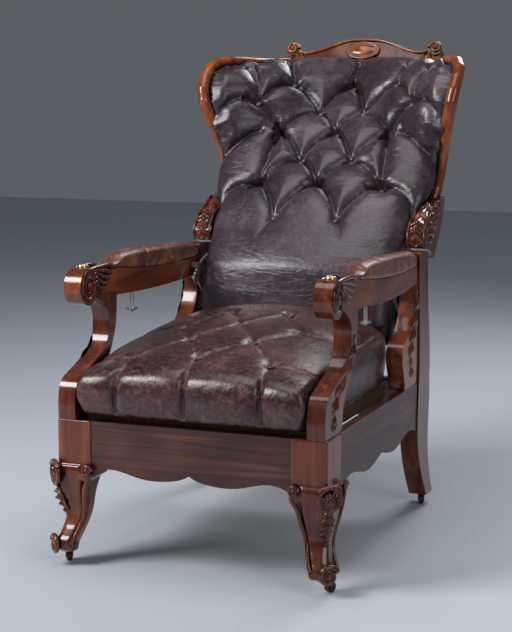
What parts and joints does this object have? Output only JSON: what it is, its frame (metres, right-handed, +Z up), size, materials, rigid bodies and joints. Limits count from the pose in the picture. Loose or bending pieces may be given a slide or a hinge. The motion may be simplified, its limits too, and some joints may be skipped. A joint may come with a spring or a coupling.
{
  "type": "reclining armchair",
  "caption": "Carved reclining armchair with a tufted wing back on a hinge, toothed quadrants, finger triggers under the arms, cabriole front legs and casters.",
  "frame": {"origin": "bottom centre of the bounding box, on the floor under the casters", "axes": "+Z up, +Y towards the rear of the chair, so the sitter looks along -Y; +X is the viewer's right in the front view"},
  "size_m": [0.714, 1.2668, 1.1848],
  "materials": {
    "carved_wood": "varnished mahogany, glossy",
    "rail_wood": "dark figured rosewood veneer, glossy",
    "plain_wood": "bare beech",
    "back_leather": "dark aubergine leather with a sheen",
    "seat_leather": "worn and cracked red-brown leather",
    "pad_leather": "worn red-brown leather, ochre at the edges",
    "button_leather": "leather-covered buttons",
    "webbing": "woven jute webbing",
    "ring_brass": "rubbed brass",
    "steel": "pale worn steel",
    "caster_iron": "dark iron",
    "wheel_wood": "dark hardwood rollers"
  },
  "bodies": {
    "base": {"arm_bracket_left": "carved_wood", "arm_bracket_right": "carved_wood", "arm_left": "carved_wood", "arm_pad_left": "pad_leather", "arm_pad_right": "pad_leather", "arm_right": "carved_wood", "arm_support_left": "carved_wood", "arm_support_right": "carved_wood", "caster_plates": "caster_iron", "crank_pins": "steel", "front_apron": "carved_wood", "front_leg_left": "carved_wood", "front_leg_right": "carved_wood", "front_seat_rail": "rail_wood", "groove_cover_left": "carved_wood", "groove_cover_right": "carved_wood", "hinge_pins": "steel", "reading_socket_left": "ring_brass", "reading_socket_right": "ring_brass", "rear_leg_left": "carved_wood", "rear_leg_right": "carved_wood", "rear_rail": "rail_wood", "seat_bearers": "plain_wood", "seat_buttons": "button_leather", "seat_cushion": "seat_leather", "seat_frame": "plain_wood", "seat_webbing": "webbing", "side_rail_left": "rail_wood", "side_rail_right": "rail_wood", "trigger_spring_left": "steel", "trigger_spring_right": "steel"},
    "back": {"back_bottom_rail": "carved_wood", "back_stile_left": "carved_wood", "back_stile_right": "carved_wood", "crest_rail": "carved_wood", "wing_frame_left": "carved_wood", "wing_frame_right": "carved_wood", "console_left": "carved_wood", "console_right": "carved_wood", "back_upholstery": "back_leather", "back_buttons": "button_leather", "outside_back": "back_leather", "quadrant_left": "steel", "quadrant_right": "steel"},
    "trigger_left": {"trigger_left": "steel"},
    "bell_crank_left": {"bell_crank_left": "steel"},
    "pull_rod_left": {"pull_rod_left": "steel"},
    "trigger_right": {"trigger_right": "steel"},
    "bell_crank_right": {"bell_crank_right": "steel"},
    "pull_rod_right": {"pull_rod_right": "steel"},
    "caster_fork_front_right": {"caster_fork_front_right": "caster_iron"},
    "caster_wheel_front_right": {"caster_wheel_front_right": "wheel_wood"},
    "caster_fork_front_left": {"caster_fork_front_left": "caster_iron"},
    "caster_wheel_front_left": {"caster_wheel_front_left": "wheel_wood"},
    "caster_fork_rear_right": {"caster_fork_rear_right": "caster_iron"},
    "caster_wheel_rear_right": {"caster_wheel_rear_right": "wheel_wood"},
    "caster_fork_rear_left": {"caster_fork_rear_left": "caster_iron"},
    "caster_wheel_rear_left": {"caster_wheel_rear_left": "wheel_wood"}
  },
  "joints": [
    {"name": "back_recline", "type": "hinge", "parent": "base", "child": "back", "pos_m": [0, 0.1076, 0.485], "axis": [-1, 0, 0], "range_deg": [-16, 14]},
    {"name": "trigger_left_press", "type": "slide", "parent": "base", "child": "trigger_left", "axis": [0, 0, 1], "range_m": [0, 0.006], "stiffness_N_per_m": 400, "springref_m": -0.005, "deforming": ["trigger_spring_left"]},
    {"name": "bell_crank_left_turn", "type": "hinge", "parent": "base", "child": "bell_crank_left", "pos_m": [-0.2905, -0.2684, 0.607], "axis": [1, 0, 0], "range_deg": [-18.2, 0.5]},
    {"name": "pull_rod_left_slide", "type": "slide", "parent": "base", "child": "pull_rod_left", "axis": [0, -1, 0], "range_m": [0, 0.005]},
    {"name": "trigger_right_press", "type": "slide", "parent": "base", "child": "trigger_right", "axis": [0, 0, 1], "range_m": [0, 0.006], "stiffness_N_per_m": 400, "springref_m": -0.005, "deforming": ["trigger_spring_right"]},
    {"name": "bell_crank_right_turn", "type": "hinge", "parent": "base", "child": "bell_crank_right", "pos_m": [0.2905, -0.2684, 0.607], "axis": [1, 0, 0], "range_deg": [-18.2, 0.5]},
    {"name": "pull_rod_right_slide", "type": "slide", "parent": "base", "child": "pull_rod_right", "axis": [0, -1, 0], "range_m": [0, 0.005]},
    {"name": "caster_front_right_swivel", "type": "hinge", "parent": "base", "child": "caster_fork_front_right", "pos_m": [0.30257, -0.59529, 0.03], "axis": [0, 0, 1], "continuous": true},
    {"name": "caster_front_right_roll", "type": "hinge", "parent": "caster_fork_front_right", "child": "caster_wheel_front_right", "pos_m": [0.31007, -0.5823, 0.012], "axis": [0.866, -0.5, 0], "continuous": true},
    {"name": "caster_front_left_swivel", "type": "hinge", "parent": "base", "child": "caster_fork_front_left", "pos_m": [-0.30257, -0.59529, 0.03], "axis": [0, 0, 1], "continuous": true},
    {"name": "caster_front_left_roll", "type": "hinge", "parent": "caster_fork_front_left", "child": "caster_wheel_front_left", "pos_m": [-0.31117, -0.583, 0.012], "axis": [0.8192, 0.5736, 0], "continuous": true},
    {"name": "caster_rear_right_swivel", "type": "hinge", "parent": "base", "child": "caster_fork_rear_right", "pos_m": [0.2925, 0.1886, 0.03], "axis": [0, 0, 1], "continuous": true},
    {"name": "caster_rear_right_roll", "type": "hinge", "parent": "caster_fork_rear_right", "child": "caster_wheel_rear_right", "pos_m": [0.29763, 0.1745, 0.012], "axis": [-0.9397, -0.342, 0], "continuous": true},
    {"name": "caster_rear_left_swivel", "type": "hinge", "parent": "base", "child": "caster_fork_rear_left", "pos_m": [-0.2925, 0.1886, 0.03], "axis": [0, 0, 1], "continuous": true},
    {"name": "caster_rear_left_roll", "type": "hinge", "parent": "caster_fork_rear_left", "child": "caster_wheel_rear_left", "pos_m": [-0.29511, 0.17383, 0.012], "axis": [-0.9848, 0.1736, 0], "continuous": true}
  ],
  "couplings": [
    {"joint": "bell_crank_left_turn", "follows": "trigger_left_press", "rad_per_m": -51.1},
    {"joint": "pull_rod_left_slide", "follows": "trigger_left_press", "ratio": 0.8},
    {"joint": "bell_crank_right_turn", "follows": "trigger_right_press", "rad_per_m": -51.1},
    {"joint": "pull_rod_right_slide", "follows": "trigger_right_press", "ratio": 0.8}
  ]
}
